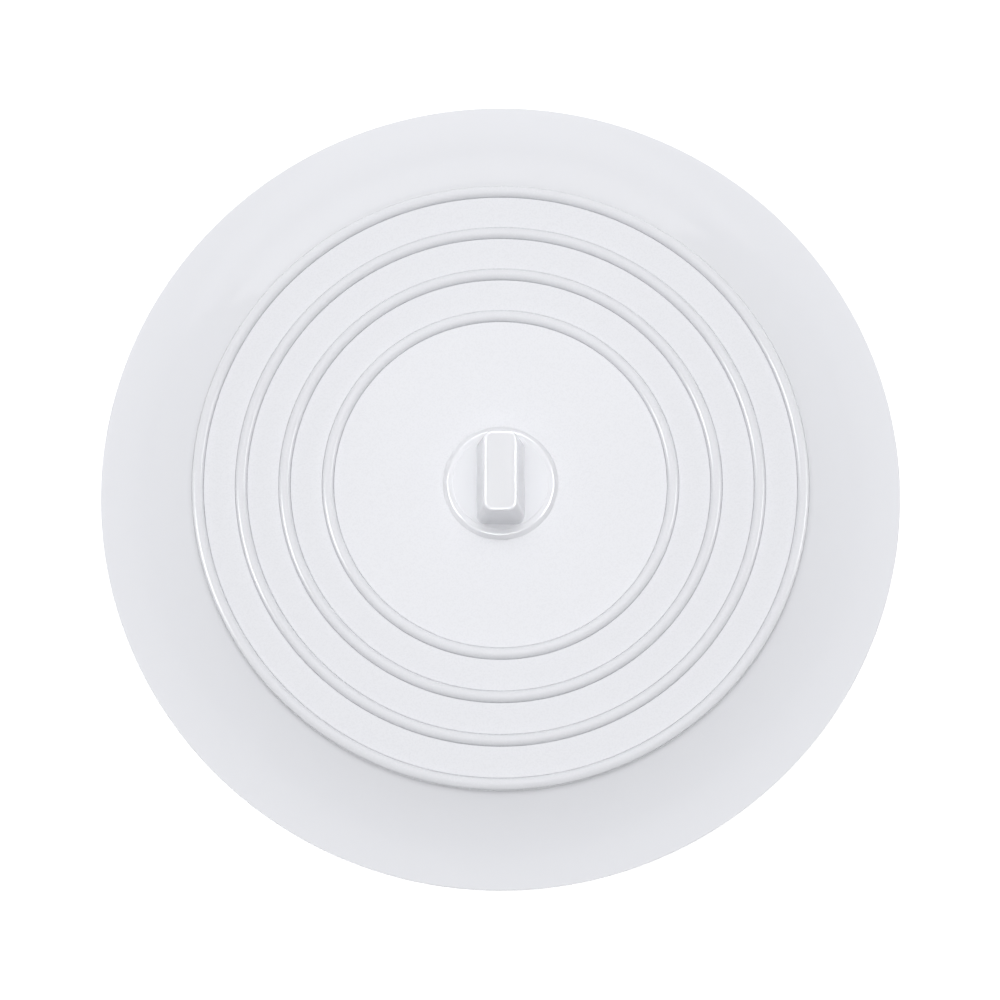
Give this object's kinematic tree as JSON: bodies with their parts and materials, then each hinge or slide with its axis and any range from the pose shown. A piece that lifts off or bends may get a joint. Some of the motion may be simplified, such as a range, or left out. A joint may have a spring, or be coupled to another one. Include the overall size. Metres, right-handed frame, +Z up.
{
  "type": "drain stopper",
  "caption": "Round flat suction drain stopper: a thin flared silicone skirt seals on the floor, raised bead rings stiffen the deck, and a finger knob in the middle lifts it.",
  "frame": {"origin": "centre of the sealing face, on the floor that the stopper lies on", "axes": "+Z up from the floor to the grip, +Y along the grip bar"},
  "size_m": [0.1524, 0.1524, 0.0201],
  "materials": {
    "silicone_skirt": "thin white silicone, satin, faintly translucent at the rim",
    "silicone_deck": "white silicone, satin",
    "silicone_bead": "white silicone, finely frosted",
    "silicone_knob": "white silicone, satin",
    "socket_plastic": "moulded white plastic, matte"
  },
  "bodies": {
    "skirt": {"sealing_skirt": "silicone_skirt"},
    "deck": {"deck_plate": "silicone_deck", "knob_socket": "socket_plastic", "bead_ring_inner": "silicone_bead", "bead_ring_second": "silicone_bead", "bead_ring_third": "silicone_bead", "bead_ring_outer": "silicone_bead"},
    "knob": {"pull_knob": "silicone_knob"}
  },
  "joints": [
    {"name": "centre_lift", "type": "slide", "parent": "skirt", "child": "deck", "axis": [0, 0, 1], "range_m": [-0.003, 0.005], "stiffness_N_per_m": 1200, "deforming": ["sealing_skirt"]},
    {"name": "knob_swivel", "type": "hinge", "parent": "deck", "child": "knob", "pos_m": [0, 0, 0.008], "axis": [0, 0, 1], "continuous": true}
  ]
}
